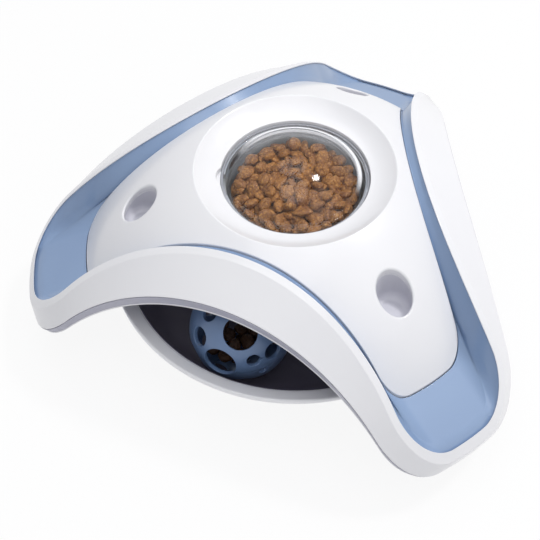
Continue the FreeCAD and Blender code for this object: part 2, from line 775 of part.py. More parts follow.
def bowl():
    # Dark round bowl with screw bosses for the base cover
    outer_corner = bowl_corner_radius + bowl_wall
    slant = math.sqrt(0.5)
    shape = revolve([
        (0.0, bowl_foot_z), (0.0, bowl_floor_z), (bowl_corner_place, bowl_floor_z),
        ((bowl_corner_place + bowl_corner_radius * slant, bowl_corner_z - bowl_corner_radius * slant),
         (bowl_side_radius, bowl_corner_z)),
        (bowl_side_radius + bowl_wall, bowl_corner_z),
        ((bowl_corner_place + outer_corner * slant, bowl_corner_z - outer_corner * slant),
         (bowl_corner_place, bowl_foot_z))])
    boss_foot = base_cover_z + base_cover_thickness + fit_gap
    for arch in arch_angles:
        boss = cylinder(base_boss_radius, boss_foot, bowl_foot_z + bowl_wall / 2, base_screw_place, arch)
        hole = cylinder(screw_radius + fit_gap, boss_foot - margin,
                        base_cover_z + base_screw_length + screw_end_gap, base_screw_place, arch)
        shape = shape.fuse(boss).cut(hole)
    shape = shape.cut(cylinder(screw_radius + fit_gap, bowl_foot_z - margin, bowl_floor_z + margin))
    return shape.removeSplitter()


def bowl_rim():
    # White rim pressed on the bowl's edge, with its sloping land, lip and three ears
    land_inner = bowl_rim_radius - bowl_land_width
    lip_inner = bowl_rim_radius - bowl_lip_wall
    seat_z = bowl_corner_z + fit_gap
    edge = bowl_edge_rounding
    edge_slant = edge * (1 - math.sqrt(0.5))
    shape = revolve([
        (bowl_side_radius, seat_z), (land_inner, bowl_rim_z - bowl_land_fall),
        (bowl_rim_radius - edge, bowl_rim_z),
        ((bowl_rim_radius - edge_slant, bowl_rim_z - edge_slant), (bowl_rim_radius, bowl_rim_z - edge)),
        (bowl_rim_radius, ear_foot_z), (lip_inner, ear_foot_z), (lip_inner, bowl_rim_z - bowl_land_wall),
        (bowl_side_radius + bowl_wall, seat_z)])
    for lobe in lobe_angles:
        ear = sector(bowl_rim_radius - bowl_lip_wall / 2, bowl_rim_radius + ear_reach,
                     ear_foot_z, ear_foot_z + ear_height, lobe, ear_half_angle)
        shape = shape.fuse(ear)
    return shape.removeSplitter()


def feed_cone():
    # Cone on the bowl's floor that spreads the kibble
    top_z = bowl_floor_z + cone_height
    shape = revolve([(0.0, bowl_floor_z), (cone_radius, bowl_floor_z),
                     (cone_radius, bowl_floor_z + cone_edge), (cone_tip_radius, top_z), (0.0, top_z)])
    return shape.cut(cylinder(screw_radius + fit_gap, bowl_floor_z - margin, top_z - cone_cap))


def bowl_outside_z(radius):
    # Height of the bowl's outer face where it curves up from its foot
    away = max(radius - bowl_corner_place, 0.0)
    return bowl_corner_z - math.sqrt((bowl_corner_radius + bowl_wall) ** 2 - away ** 2)


def base_cover():
    # Shallow cup that closes the base, with pockets for the feet and holes for its screws
    top_z = base_cover_z + base_cover_thickness
    inner = base_radius - base_wall
    shape = revolve([(0.0, base_cover_z), (base_radius, base_cover_z),
                     (base_radius, bowl_outside_z(base_radius) - fit_gap),
                     (inner, bowl_outside_z(inner) - fit_gap), (inner, top_z), (0.0, top_z)])
    for lobe in lobe_angles:
        shape = shape.cut(cylinder(pad_radius + fit_gap, base_cover_z - margin,
                                   base_cover_z + pad_recess, pad_place, lobe))
    for arch in arch_angles:
        shape = shape.cut(cylinder(screw_radius + fit_gap, base_cover_z - margin, top_z + margin,
                                   base_screw_place, arch))
    return shape


def foot_pads():
    return Part.makeCompound([cylinder(pad_radius, 0.0, pad_height, pad_place, lobe)
                              for lobe in lobe_angles])


def base_weight():
    # Steel ring on the base cover that keeps the toy from tipping
    return ring(weight_hole_radius, weight_radius, weight_z, weight_z + weight_thickness)


def ball_centre():
    turn = math.radians(ball_place_angle)
    return Vector(ball_track_radius * math.cos(turn), ball_track_radius * math.sin(turn), ball_z)


def ball_block(low, high):
    # Box round the ball between two heights from its centre
    side = 2 * (ball_radius + margin)
    corner = ball_centre() + Vector(-side / 2, -side / 2, low)
    return Part.makeBox(side, side, high - low, corner)


def ball_half(low, high):
    # Half of the hollow ball, with the holes that reach it
    centre = ball_centre()
    shape = Part.makeSphere(ball_radius, centre).cut(Part.makeSphere(ball_radius - ball_wall, centre))
    shape = shape.common(ball_block(low, high))
    for round_angle, rise, radius in ball_holes:
        a = math.radians(round_angle)
        e = math.radians(rise)
        way = Vector(math.cos(a) * math.cos(e), math.sin(a) * math.cos(e), math.sin(e))
        shape = shape.cut(Part.makeCylinder(radius, ball_radius + margin, centre, way))
    return shape.removeSplitter()


def ball_kibble():
    # Kibble lying in the ball
    fill = Part.makeSphere(ball_radius - ball_wall - kibble_gap, ball_centre())
    return fill.common(ball_block(-ball_radius, -ball_fill_level))


def screw_group(seat_z, tip_z, place, angles):
    return Part.makeCompound([screw(seat_z, tip_z, place, angle) for angle in angles])


cover_seat_z = lobe_ceiling_z - under_wall
ball_reach = ball_radius + margin

parts = {
    "canopy_shell": canopy_shell(),
    "channel_liner": channel_liner(),
    "canopy_underside": canopy_underside(),
    "top_cover": top_cover(),
    "snack_cup_back": snack_cup(lobe_angles[0]),
    "snack_cup_left": snack_cup(lobe_angles[1]),
    "snack_cup_right": snack_cup(lobe_angles[2]),
    "hopper": hopper(),
    "dome_lid": dome_lid(),
    "lid_seal": lid_seal(),
    "kibble_fill": kibble_fill(),
    "bowl": bowl(),
    "bowl_rim": bowl_rim(),
    "feed_cone": feed_cone(),
    "base_weight": base_weight(),
    "base_cover": base_cover(),
    "foot_pads": foot_pads(),
    "ball_upper_half": ball_half(0.0, ball_reach),
    "ball_lower_half": ball_half(-ball_reach, 0.0),
    "ball_kibble": ball_kibble(),
    "cover_screws": screw_group(cover_seat_z, cover_seat_z + cover_screw_length,
                                cover_screw_place, lobe_angles),
    "hopper_screws": screw_group(flange_seat_z, flange_seat_z - hopper_screw_length,
                                 hopper_screw_place, arch_angles),
    "base_screws": screw_group(base_cover_z, base_cover_z + base_screw_length,
                               base_screw_place, arch_angles),
    "feed_cone_screw": screw(bowl_foot_z, bowl_foot_z + cone_screw_length, 0.0, 0.0),
}

os.makedirs("parts", exist_ok=True)
for name, shape in parts.items():
    print(name, len(shape.Solids), "solids of", round(shape.Volume), "cubic mm")
    shape.exportStep("parts/" + name + ".step")
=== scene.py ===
import bpy
import bmesh
import math
import random
from mathutils import Matrix, Vector, noise
from mathutils.geometry import delaunay_2d_cdt


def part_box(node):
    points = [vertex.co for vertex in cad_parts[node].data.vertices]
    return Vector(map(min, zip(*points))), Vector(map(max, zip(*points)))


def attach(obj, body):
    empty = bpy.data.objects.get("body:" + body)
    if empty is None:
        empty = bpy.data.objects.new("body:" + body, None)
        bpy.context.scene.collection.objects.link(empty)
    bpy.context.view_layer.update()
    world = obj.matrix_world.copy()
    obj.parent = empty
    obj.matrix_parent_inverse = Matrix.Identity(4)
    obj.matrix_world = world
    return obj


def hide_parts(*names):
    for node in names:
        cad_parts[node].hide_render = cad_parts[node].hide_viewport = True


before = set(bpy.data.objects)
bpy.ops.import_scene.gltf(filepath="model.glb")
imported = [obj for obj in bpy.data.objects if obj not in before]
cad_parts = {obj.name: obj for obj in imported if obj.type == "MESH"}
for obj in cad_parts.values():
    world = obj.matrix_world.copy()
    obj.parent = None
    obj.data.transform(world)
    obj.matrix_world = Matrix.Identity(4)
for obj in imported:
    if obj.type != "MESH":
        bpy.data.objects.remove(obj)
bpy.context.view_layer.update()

# Shapes are worked out in millimetres and turned into metres when a mesh is made.
# Heights are above the floor, plan angles are about the toy's axis.
mm = 0.001
lobeAngles = [math.radians(a) for a in (90, 210, 330)]
halfPitch = math.pi / len(lobeAngles)
sampling = {"arch": 72, "corner": 26, "tip": 16}      # points on each arc of a lobed outline


def top(node):
    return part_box(node)[1].z / mm


def foot(node):
    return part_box(node)[0].z / mm


lidRise = 8.1                                        # top of the dome above the edge of the dish
dishZ = top("dome_lid") - lidRise

rimEdge = {"nearest": 60.75, "arch": 170.0, "tip": 140.3, "corner": 22.0}
skirtEdge = {"nearest": 83.3, "arch": 270.0, "tip": 142.5, "corner": 28.0}
coverEdge = {"nearest": 56.25, "arch": 200.0, "tip": 110.35, "corner": 14.0}
channelFoot = {"nearest": 57.15, "arch": 199.1, "tip": 136.0, "corner": 12.0}
spheres = {"rim": (164.0, 10.85), "skirt": (157.35, 8.35), "cover": (125.0, 9.75)}   # radius, top


def grown(line, out):
    return {"nearest": line["nearest"] + out, "arch": line["arch"] - out,
            "tip": line["tip"] + out, "corner": line["corner"] + out}


def arc(cx, cy, radius, start, end, count):
    step = (end - start) / count
    return [(cx + radius * math.cos(start + step * i), cy + radius * math.sin(start + step * i))
            for i in range(count)]


def outline(line):
    # Plan points of the whole lobed outline, the same number on every one
    reach = line["nearest"] + line["arch"]
    inward = line["tip"] - line["corner"]
    join = line["arch"] + line["corner"]
    cornerAngle = halfPitch - math.acos((inward ** 2 + reach ** 2 - join ** 2) / (2 * inward * reach))
    ax, ay = reach * math.cos(halfPitch), -reach * math.sin(halfPitch)
    cx, cy = inward * math.cos(cornerAngle), -inward * math.sin(cornerAngle)
    touch = math.atan2(cy - ay, cx - ax)
    middle = math.pi - halfPitch
    points = arc(ax, ay, line["arch"], 2 * middle - touch, touch, sampling["arch"])
    points += arc(cx, cy, line["corner"], touch - math.pi, -cornerAngle, sampling["corner"])
    points += arc(0, 0, line["tip"], -cornerAngle, cornerAngle, sampling["tip"])
    points += arc(cx, -cy, line["corner"], cornerAngle, math.pi - touch, sampling["corner"])
    whole = []
    for lobe in lobeAngles:
        c, s = math.cos(lobe), math.sin(lobe)
        whole += [(x * c - y * s, x * s + y * c) for x, y in points]
    return whole


def domeZ(name, r):
    radius, rise = spheres[name]
    return dishZ + rise - radius + math.sqrt(max(radius ** 2 - r ** 2, 0.0))


coverWall = 2.2


def coverUnder(r):
    radius, rise = spheres["cover"]
    return dishZ + rise - radius + math.sqrt(max((radius - coverWall) ** 2 - r ** 2, 0.0))


channel = {"step": 0.8, "slope": 0.39, "blend": 0.6, "seatGap": 0.2, "recess": 0.45}


def channelZ(x, y):
    # Floor of the channel: just below the cover's top beside it, then straight down to the tip
    r = math.hypot(x, y)
    away = abs((math.atan2(y, x) - lobeAngles[0] + halfPitch) % (2 * halfPitch) - halfPitch)
    ramp = domeZ("cover", coverEdge["tip"]) - channel["step"]
    ramp -= channel["slope"] * (r * math.cos(away) - coverEdge["tip"])
    beside = domeZ("cover", r) - channel["step"]
    return 0.5 * (beside + ramp + math.hypot(beside - ramp, channel["blend"]))


def seatZ(x, y):
    return coverUnder(math.hypot(x, y)) - channel["seatGap"]


def filleted(corners, radii, closed=True, steps=5):
    # The chain of corners with each one rounded to its radius, as far as its neighbours allow
    out = []
    count = len(corners)
    for i, (here, radius) in enumerate(zip(corners, radii)):
        if radius <= 0 or (not closed and i in (0, count - 1)):
            out.append(here)
            continue
        before = corners[i - 1] - here
        after = corners[(i + 1) % count] - here
        half = before.angle(after, math.pi) / 2
        reach = min(radius / max(math.tan(half), 1e-6), 0.45 * before.length, 0.45 * after.length)
        start = here + before.normalized() * reach
        end = here + after.normalized() * reach
        weight = math.sin(half)
        for k in range(steps + 1):
            s = k / steps
            a, b, c = (1 - s) ** 2, 2 * weight * s * (1 - s), s ** 2
            out.append((start * a + here * b + end * c) / (a + b + c))
    return out


def addRows(bm, rows, around=True, along=True):
    # Faces between neighbouring rows of points; around and along say where it closes on itself
    grid = [[bm.verts.new(p * mm) for p in row] for row in rows]
    rowCount, length = len(grid), len(grid[0])
    for i in range(rowCount if around else rowCount - 1):
        near, far = grid[i], grid[(i + 1) % rowCount]
        for j in range(length if along else length - 1):
            k = (j + 1) % length
            bm.faces.new((near[j], far[j], far[k], near[k]))
    return grid


def makePiece(name, bm, material, body, nodes, weld=0.00001, crisp=30, outward=True):
    bmesh.ops.remove_doubles(bm, verts=bm.verts, dist=weld)
    bmesh.ops.dissolve_degenerate(bm, edges=bm.edges, dist=1e-7)
    if outward:
        bmesh.ops.recalc_face_normals(bm, faces=bm.faces)
    mesh = bpy.data.meshes.new(name)
    bm.to_mesh(mesh)
    bm.free()
    mesh.polygons.foreach_set("use_smooth", [True] * len(mesh.polygons))
    mesh.set_sharp_from_angle(angle=math.radians(crisp))
    piece = bpy.data.objects.new(name, mesh)
    bpy.context.scene.collection.objects.link(piece)
    mesh.materials.append(material)
    soft = piece.modifiers.new("evenNormals", "WEIGHTED_NORMAL")
    soft.keep_sharp = True
    soft.weight = 80
    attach(piece, body)
    if nodes:
        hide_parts(*nodes)
    return piece


def revolved(bm, profile, radii, segments=200, closed=True, centre=(0.0, 0.0), start=0.0, steps=5):
    # Turns a chain of (radius, height) corners, or a function that gives it for an angle,
    # about an upright axis
    rows = []
    for i in range(segments):
        turn = start + 2 * math.pi * i / segments
        corners = profile(turn) if callable(profile) else profile
        chain = filleted([Vector((r, 0.0, z)) for r, z in corners], radii, closed, steps)
        rows.append([Vector((centre[0] + p.x * math.cos(turn), centre[1] + p.x * math.sin(turn), p.z))
                     for p in chain])
    return addRows(bm, rows, True, closed)


class Wire:
    # A socket in a node tree. Sums and products of wires become Math nodes.
    def __init__(self, shader, socket):
        self.shader = shader
        self.socket = socket

    def maths(self, operation, first, second):
        return self.shader.node("ShaderNodeMath", {"operation": operation}, {0: first, 1: second})

    def __add__(self, other):
        return self.maths("ADD", self, other)

    def __radd__(self, other):
        return self.maths("ADD", other, self)

    def __sub__(self, other):
        return self.maths("SUBTRACT", self, other)

    def __rsub__(self, other):
        return self.maths("SUBTRACT", other, self)

    def __mul__(self, other):
        return self.maths("MULTIPLY", self, other)

    def __rmul__(self, other):
        return self.maths("MULTIPLY", other, self)

    def __pow__(self, other):
        return self.maths("POWER", self, other)


class Shader:
    def __init__(self, name):
        self.material = bpy.data.materials.new(name)
        self.material.use_nodes = True
        self.tree = self.material.node_tree
        self.tree.nodes.clear()
        self.place = self.node("ShaderNodeTexCoord", {}, {}, "Object")

    def node(self, kind, settings, inputs, output=0):
        made = self.tree.nodes.new(kind)
        for key, value in settings.items():
            if key == "stops":
                ramp = made.color_ramp
                for spot, colour in value[2:]:
                    ramp.elements.new(spot)
                for element, (spot, colour) in zip(ramp.elements, sorted(value)):
                    element.position = spot
                    element.color = (*colour, 1.0)
            else:
                setattr(made, key, value)
        for key, value in inputs.items():
            if isinstance(value, Wire):
                self.tree.links.new(value.socket, made.inputs[key])
            else:
                made.inputs[key].default_value = value
        return Wire(self, made.outputs[output])

    def noise(self, scale, detail=3.0, roughness=0.5, place=None, distortion=0.0):
        return self.node("ShaderNodeTexNoise", {}, {
            "Vector": place or self.place, "Scale": scale, "Detail": detail,
            "Roughness": roughness, "Distortion": distortion}, "Fac")

    def spread(self, value, low, high, start=0.0, end=1.0, smooth=False):
        kind = "SMOOTHSTEP" if smooth else "LINEAR"
        return self.node("ShaderNodeMapRange", {"interpolation_type": kind}, {
            "Value": value, "From Min": low, "From Max": high, "To Min": start, "To Max": end}, "Result")

    def mix(self, share, first, second):
        return self.node("ShaderNodeMix", {"data_type": "RGBA"}, {0: share, 6: first, 7: second}, 2)

    def bump(self, height, strength, distance, normal=None):
        inputs = {"Height": height, "Strength": strength, "Distance": distance}
        if normal:
            inputs["Normal"] = normal
        return self.node("ShaderNodeBump", {}, inputs)

    def axis(self, name):
        return self.node("ShaderNodeSeparateXYZ", {}, {"Vector": self.place}, name)

    def stretched(self, scale):
        return self.node("ShaderNodeMapping", {}, {"Vector": self.place, "Scale": scale})

    def finish(self, surface):
        output = self.tree.nodes.new("ShaderNodeOutputMaterial")
        self.tree.links.new(surface.socket, output.inputs["Surface"])
        return self.material


def plain(colour):
    return (*colour, 1.0)


def mouldedPlastic(name, values):
    # Injection-moulded plastic: faint clouding, a fine spark-eroded grain and handling marks
    shader = Shader(name)
    cloud = shader.noise(values.get("cloud", 18.0), 2.0)
    grain = shader.noise(values.get("grain", 2600.0), 2.0, 0.6)
    sweep = shader.noise(90.0, 4.0, 0.55, shader.stretched((1.0, 1.0, 0.16)))
    marks = shader.spread(shader.noise(46.0, 6.0, 0.7, None, 1.2), 0.56, 0.74, 0.0, 1.0, True)
    tint = shader.spread(cloud, 0.35, 0.65)
    colour = shader.mix(tint, plain(values["colour"]), plain(values["second"]))
    colour = shader.mix(marks * values.get("marks", 0.05), colour, plain(values["worn"]))
    gloss = values["roughness"] + 0.05 * (sweep - 0.5) + values.get("marks", 0.05) * marks
    height = grain * 0.6 + sweep * 0.4
    surface = shader.node("ShaderNodeBsdfPrincipled", {}, {
        "Base Color": colour, "Roughness": gloss, "IOR": 1.49,
        "Coat Weight": values.get("coat", 0.0), "Coat Roughness": 0.12,
        "Normal": shader.bump(height, values.get("relief", 0.12), 0.00012)}, "BSDF")
    return shader.finish(surface)


print("camera")

cameraValues = {"azimuth": 24.90, "elevation": 53.52, "roll": -0.82, "across": 24.86, "up": 102.3,
                "distance": 1008.9, "focal": 1029.9, "unit": 0.5, "frame": 540.0, "sensor": 36.0}


def makeCamera():
    v = cameraValues
    a, e = math.radians(v["azimuth"]), math.radians(v["elevation"])
    roll = math.radians(v["roll"])
    back = Vector((math.sin(a) * math.cos(e), -math.cos(a) * math.cos(e), math.sin(e)))
    right = Vector((math.cos(a), math.sin(a), 0.0))
    up = back.cross(right)
    right, up = (math.cos(roll) * right + math.sin(roll) * up,
                 math.cos(roll) * up - math.sin(roll) * right)
    place = (back * v["distance"] - right * v["across"] - up * v["up"]) * v["unit"]
    place.z += dishZ
    data = bpy.data.cameras.new("camera")
    data.sensor_width = v["sensor"]
    data.lens = v["focal"] / v["frame"] * v["sensor"]
    data.clip_start, data.clip_end = 0.01, 20.0
    camera = bpy.data.objects.new("camera", data)
    bpy.context.scene.collection.objects.link(camera)
    turn = Matrix((right, up, back)).transposed().to_4x4()
    camera.matrix_world = Matrix.Translation(place * mm) @ turn
    bpy.context.scene.camera = camera


makeCamera()

print("plastics")

whitePlastic = mouldedPlastic("whitePlastic", {
    "colour": (0.80, 0.80, 0.825), "second": (0.82, 0.82, 0.84), "worn": (0.70, 0.70, 0.73),
    "roughness": 0.30, "coat": 0.3, "marks": 0.04})
bluePlastic = mouldedPlastic("bluePlastic", {
    "colour": (0.215, 0.31, 0.49), "second": (0.235, 0.335, 0.515), "worn": (0.32, 0.42, 0.58),
    "roughness": 0.32, "coat": 0.35, "marks": 0.06})
ballPlastic = mouldedPlastic("ballPlastic", {
    "colour": (0.15, 0.24, 0.42), "second": (0.165, 0.26, 0.45), "worn": (0.25, 0.35, 0.52),
    "roughness": 0.33, "coat": 0.3, "marks": 0.07})
# Painted shade: the canopy's underside is white plastic, and this grey stands in for the shade beneath the canopy;
# the feed cone takes the same grey
greyPaintedShadePlastic = mouldedPlastic("greyPaintedShadePlastic", {
    "colour": (0.42, 0.42, 0.50), "second": (0.45, 0.45, 0.53), "worn": (0.36, 0.36, 0.42),
    "roughness": 0.5, "marks": 0.05, "relief": 0.25})
# Painted shade: the snack cups are white plastic, greyed to stand in for the shade down in their recesses
cupPaintedShadePlastic = mouldedPlastic("cupPaintedShadePlastic", {
    "colour": (0.60, 0.60, 0.66), "second": (0.63, 0.63, 0.69), "worn": (0.5, 0.5, 0.56),
    "roughness": 0.4, "marks": 0.05})
hopperPlastic = mouldedPlastic("hopperPlastic", {
    "colour": (0.40, 0.44, 0.50), "second": (0.46, 0.48, 0.50), "worn": (0.34, 0.33, 0.30),
    "roughness": 0.42, "marks": 0.25, "cloud": 60.0})


def clearPlastic():
    # Thin clear plastic: a gloss that grows towards grazing sight over what lies behind it,
    # with a painted highlight: a milky white ring where the dome meets its flange, on the back side only
    shader = Shader("clearPlastic")
    bump = shader.bump(shader.noise(30.0, 2.0), 0.04, 0.001)
    facing = shader.node("ShaderNodeLayerWeight", {}, {"Blend": 0.5, "Normal": bump}, "Facing")
    gloss = 0.012 + 0.9 * facing ** 5.0
    haze = shader.spread(shader.noise(120.0, 4.0, 0.6), 0.45, 0.8, 0.0, 0.01)
    radius = shader.node("ShaderNodeVectorMath", {"operation": "LENGTH"}, {0: shader.node(
        "ShaderNodeVectorMath", {"operation": "MULTIPLY"}, {0: shader.place, 1: (1.0, 1.0, 0.0)})}, "Value")
    paintedHighlightRing = shader.spread(radius, 0.0304, 0.0316, 0.0, 1.0, True)
    paintedHighlightRing = paintedHighlightRing * shader.spread(radius, 0.0326, 0.0334, 1.0, 0.0, True)
    # Painted highlight: the white ring shows only towards +Y, the toy's back, and fades out towards the front
    back = shader.spread(shader.axis("Y"), 0.0, 0.018, 0.0, 0.85, True)
    mirror = shader.node("ShaderNodeBsdfPrincipled", {}, {
        "Base Color": plain((0.97, 0.98, 1.0)), "Roughness": 0.07 + haze, "Metallic": 1.0,
        "Normal": bump}, "BSDF")
    paintedHighlightWhite = shader.node("ShaderNodeBsdfPrincipled", {}, {
        "Base Color": plain((0.93, 0.94, 0.97)), "Roughness": 0.2 + haze, "IOR": 1.49}, "BSDF")
    through = shader.node("ShaderNodeBsdfTransparent", {}, {"Color": plain((0.985, 0.988, 0.99))})
    surface = shader.node("ShaderNodeMixShader", {}, {0: paintedHighlightRing * back, 1: through, 2: paintedHighlightWhite})
    surface = shader.node("ShaderNodeMixShader", {}, {0: gloss + haze, 1: surface, 2: mirror})
    return shader.finish(surface)


def kibbleCrust(name, dark, light, crumbs=(0.54, 0.27, 0.07)):
    # Baked crust: brown patches, fine paler crumbs and a rough, slightly greasy surface
    shader = Shader(name)
    patch = shader.noise(160.0, 4.0, 0.6)
    crumb = shader.noise(900.0, 3.0, 0.7)
    pits = shader.node("ShaderNodeTexVoronoi", {"feature": "F1"},
                       {"Vector": shader.place, "Scale": 620.0}, "Distance")
    base = shader.node("ShaderNodeValToRGB", {"stops": [(0.34, dark), (0.66, light)]}, {"Fac": patch})
    speck = shader.spread(crumb, 0.54, 0.64, 0.0, 0.9, True)
    shade = shader.spread(crumb, 0.34, 0.46, 0.9, 0.0, True)
    colour = shader.mix(speck, base, plain(crumbs))
    colour = shader.mix(shade, colour, plain((0.10, 0.035, 0.012)))
    height = crumb * 0.7 + pits * 0.5
    surface = shader.node("ShaderNodeBsdfPrincipled", {}, {
        "Base Color": colour, "Roughness": 0.42 + 0.3 * patch, "IOR": 1.45,
        "Normal": shader.bump(height, 0.8, 0.0006)}, "BSDF")
    return shader.finish(surface)


def rubber(name, colour):
    shader = Shader(name)
    dust = shader.noise(70.0, 5.0, 0.65)
    grain = shader.noise(1500.0, 3.0, 0.6)
    paler = tuple(0.7 * c + 0.12 for c in colour)
    surface = shader.node("ShaderNodeBsdfPrincipled", {}, {
        "Base Color": shader.mix(shader.spread(dust, 0.4, 0.8, 0.0, 0.5), plain(colour), plain(paler)),
        "Roughness": 0.62 + 0.2 * dust, "Normal": shader.bump(grain, 0.3, 0.0002)}, "BSDF")
    return shader.finish(surface)


def platedSteel(name, metallic):
    shader = Shader(name)
    turned = shader.noise(300.0, 3.0, 0.6, shader.stretched((1.0, 1.0, 5.0)))
    stain = shader.noise(60.0, 4.0)
    surface = shader.node("ShaderNodeBsdfPrincipled", {}, {
        "Base Color": shader.mix(stain, plain((0.55, 0.55, 0.57)), plain((0.66, 0.66, 0.67))),
        "Metallic": metallic, "Roughness": 0.28 + 0.25 * turned,
        "Normal": shader.bump(turned, 0.15, 0.0001)}, "BSDF")
    return shader.finish(surface)


# Painted light: the bowl's rim takes a paler copy of the white plastic, standing in for the light that falls on
# its land
bowlPaintedLightWhite = mouldedPlastic("bowlPaintedLightWhite", {
    "colour": (0.90, 0.90, 0.92), "second": (0.91, 0.91, 0.93), "worn": (0.66, 0.66, 0.70),
    "roughness": 0.34, "coat": 0.2, "marks": 0.05})
bowlDark = mouldedPlastic("bowlDark", {
    "colour": (0.105, 0.095, 0.135), "second": (0.13, 0.12, 0.16), "worn": (0.17, 0.16, 0.2),
    "roughness": 0.44, "coat": 0.2, "marks": 0.12, "cloud": 24.0})
clearLid = clearPlastic()
kibbleSkin = kibbleCrust("kibbleCrust", (0.17, 0.056, 0.011), (0.36, 0.150, 0.032))
# Painted shade: a darker copy of the kibble crust for the pieces inside the ball, standing in for the shade there
kibbleShaded = kibbleCrust("kibbleInBallPaintedShade", (0.030, 0.012, 0.006), (0.075, 0.034, 0.014), (0.12, 0.06, 0.025))
# Painted shadow: a darker copy of the crust for the solid core under the heap's pieces
kibbleShadowCore = kibbleCrust("kibbleShadow", (0.05, 0.018, 0.006), (0.11, 0.045, 0.015))
sealRubber = rubber("sealRubber", (0.46, 0.47, 0.52))
footRubber = rubber("footRubber", (0.05, 0.05, 0.055))
screwSteel = platedSteel("screwSteel", 1.0)

print("canopy shell")

shellValues = {"landWidth": 3.5, "landEdge": 0.8, "wall": 2.2, "seam": 0.3, "inset": 1.0,
               "rounding": (0.9, 1.0, 0.8, 0.5, 0.5, 0.2)}


def lobedSections(lines):
    # For each plan point the corners of the section there. A line is an outline, its height
    # and how far its height is lowered, with the outline that the height follows.
    columns = []
    for line, height, drop, follow in lines:
        plan = outline(line)
        marks = outline(follow) if follow else plan
        columns.append([Vector((x, y, height(u, v) - drop)) for (x, y), (u, v) in zip(plan, marks)])
    return [list(section) for section in zip(*columns)]


def rimHeight(x, y):
    return domeZ("rim", math.hypot(x, y))


def skirtHeight(x, y):
    return domeZ("skirt", math.hypot(x, y))


def makeShell():
    v = shellValues
    land = grown(rimEdge, v["landWidth"])
    inner = grown(skirtEdge, -v["wall"])
    sections = lobedSections([
        (rimEdge, rimHeight, 0.0, None),
        (land, rimHeight, 0.0, None),
        (skirtEdge, skirtHeight, 0.0, None),
        (inner, skirtHeight, 0.0, skirtEdge),
        (grown(land, -v["inset"]), rimHeight, v["wall"] + v["seam"], None),
        (rimEdge, rimHeight, v["landEdge"], None)])
    bm = bmesh.new()
    addRows(bm, [filleted(s, v["rounding"]) for s in sections])
    return makePiece("canopyShell", bm, whitePlastic, "canopy", ["canopy_shell"])


makeShell()

print("channel liner")

linerValues = {"wall": 2.0, "flange": 2.4, "topGap": 0.05, "seatIn": 3.0, "tuck": 0.6, "tuckDrop": 1.35,
               "rounding": (0.0, 12.0, 0.25, 0.0, 0.3, 0.3, 0.3, 2.0, 0.3)}


def makeLiner():
    v = linerValues
    recess = grown(coverEdge, channel["recess"])
    seatInner = grown(coverEdge, -v["seatIn"])
    under = shellValues["wall"] + shellValues["seam"] + v["topGap"]
    sections = lobedSections([
        (grown(rimEdge, v["tuck"]), rimHeight, v["tuckDrop"], None),
        (channelFoot, channelZ, 0.0, None),
        (recess, channelZ, 0.0, None),
        (recess, seatZ, 0.0, None),
        (seatInner, seatZ, 0.0, None),
        (seatInner, seatZ, v["wall"], None),
        (recess, seatZ, v["wall"], None),
        (grown(channelFoot, v["wall"] / 2), channelZ, v["wall"], channelFoot),
        (grown(rimEdge, v["flange"]), rimHeight, under, None)])
    bm = bmesh.new()
    addRows(bm, [filleted(s, v["rounding"], True, 7) for s in sections])
    return makePiece("channelLiner", bm, bluePlastic, "canopy", ["channel_liner"],
                     crisp=40)


makeLiner()

print("lip under the skirt")

bandValues = {"height": 8.8, "tipHeight": 2.6, "fade": 8.0, "inset": 3.0, "thickness": 1.2,
              "bead": 0.55, "beadHeight": 1.1}


def bandFoot(x, y):
    # Foot of the band, which comes up to the skirt's edge towards each tip
    v = bandValues
    share = (math.hypot(x, y) - skirtEdge["nearest"]) / (skirtEdge["tip"] - skirtEdge["nearest"])
    fall = (v["height"] - v["tipHeight"]) * abs(share) ** v["fade"]
    return skirtHeight(x, y) - v["height"] + fall


def makeBandLip():
    # White bead along the lower edge of the band below the skirt
    v = bandValues
    out = v["bead"] - v["inset"]
    back = -v["inset"] - v["thickness"] - 0.1
    lines = [(grown(skirtEdge, out), bandFoot, -v["beadHeight"], skirtEdge),
             (grown(skirtEdge, out), bandFoot, 0.12, skirtEdge),
             (grown(skirtEdge, back), bandFoot, 0.12, skirtEdge),
             (grown(skirtEdge, back), bandFoot, -v["beadHeight"], skirtEdge)]
    bm = bmesh.new()
    addRows(bm, [filleted(s, (0.4, 0.5, 0.2, 0.2)) for s in lobedSections(lines)])
    return makePiece("bandLip", bm, whitePlastic, "canopy", [])


makeBandLip()

print("top cover")

coverValues = {"edgeRounding": 0.7, "edgeReach": 3.0, "spacing": 2.6, "holePlace": 78.0,
               "holeRadius": 8.9, "holeRounding": 1.7, "holeReach": 3.0, "holeDepth": 4.5,
               "holeSegments": 96, "dishRadius": 50.0, "dishReach": 2.6, "dishHollow": 1.1,
               "mouthRadius": 37.3, "mouthDrop": 6.7, "neckHeight": 4.2, "segments": 240,
               "notchAngle": 205.0, "notchRadius": 8.0, "notchReach": 2.0, "notchDepth": 3.0}


def coverHeight(x, y):
    return domeZ("cover", math.hypot(x, y))


def onCover(x, y, drop=0.0):
    return Vector((x, y, coverHeight(x, y) - drop))


def ringPlan(radius, count, centre=(0.0, 0.0)):
    return [(centre[0] + radius * math.cos(2 * math.pi * i / count),
             centre[1] + radius * math.sin(2 * math.pi * i / count)) for i in range(count)]


def insideLoop(x, y, loop):
    odd = False
    for (ax, ay), (bx, by) in zip(loop, loop[1:] + loop[:1]):
        if (ay > y) != (by > y) and x < (bx - ax) * (y - ay) / (by - ay) + ax:
            odd = not odd
    return odd


